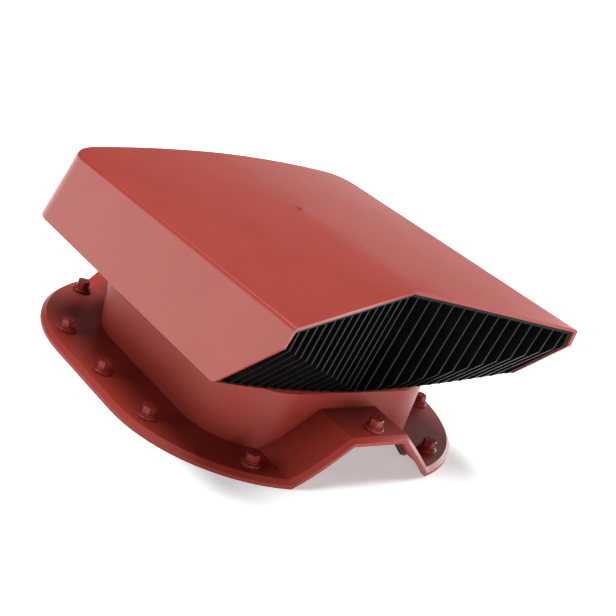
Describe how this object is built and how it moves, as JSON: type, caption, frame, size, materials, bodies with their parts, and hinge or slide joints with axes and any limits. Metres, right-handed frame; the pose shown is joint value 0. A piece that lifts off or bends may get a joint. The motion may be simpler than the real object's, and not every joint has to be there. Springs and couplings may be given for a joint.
{
  "type": "roof vent",
  "caption": "Roof vent with a ribbed screw-down base, a rounded collar, and a flat hood over a black slatted front.",
  "frame": {"origin": "middle of the base plate, on the plane where its rim meets the roof", "axes": "+Z away from the roof and square to it, -Y down the slope towards the open front, X across"},
  "size_m": [0.332, 0.3539, 0.1592],
  "materials": {
    "base_red": "satin",
    "hood_red": "satin",
    "grille_black": "satin",
    "seal_rubber": "matte",
    "roof_screw_paint": "satin",
    "roof_washer_paint": "satin",
    "small_screw_steel": "satin"
  },
  "bodies": {
    "root": {"base": "base_red", "seal_strip": "seal_rubber", "hood": "hood_red", "grille_body": "grille_black", "roof_screw_1": "roof_screw_paint", "roof_washer_1": "roof_washer_paint", "roof_screw_2": "roof_screw_paint", "roof_washer_2": "roof_washer_paint", "roof_screw_3": "roof_screw_paint", "roof_washer_3": "roof_washer_paint", "roof_screw_4": "roof_screw_paint", "roof_washer_4": "roof_washer_paint", "roof_screw_5": "roof_screw_paint", "roof_washer_5": "roof_washer_paint", "roof_screw_6": "roof_screw_paint", "roof_washer_6": "roof_washer_paint", "roof_screw_7": "roof_screw_paint", "roof_washer_7": "roof_washer_paint", "roof_screw_8": "roof_screw_paint", "roof_washer_8": "roof_washer_paint", "roof_screw_9": "roof_screw_paint", "roof_washer_9": "roof_washer_paint", "roof_screw_10": "roof_screw_paint", "roof_washer_10": "roof_washer_paint", "roof_screw_11": "roof_screw_paint", "roof_washer_11": "roof_washer_paint", "roof_screw_12": "roof_screw_paint", "roof_washer_12": "roof_washer_paint", "hood_screw_1": "small_screw_steel", "neck_screw_1": "small_screw_steel", "hood_screw_2": "small_screw_steel", "neck_screw_2": "small_screw_steel", "hood_screw_3": "small_screw_steel", "neck_screw_3": "small_screw_steel", "hood_screw_4": "small_screw_steel", "neck_screw_4": "small_screw_steel"}
  },
  "joints": []
}
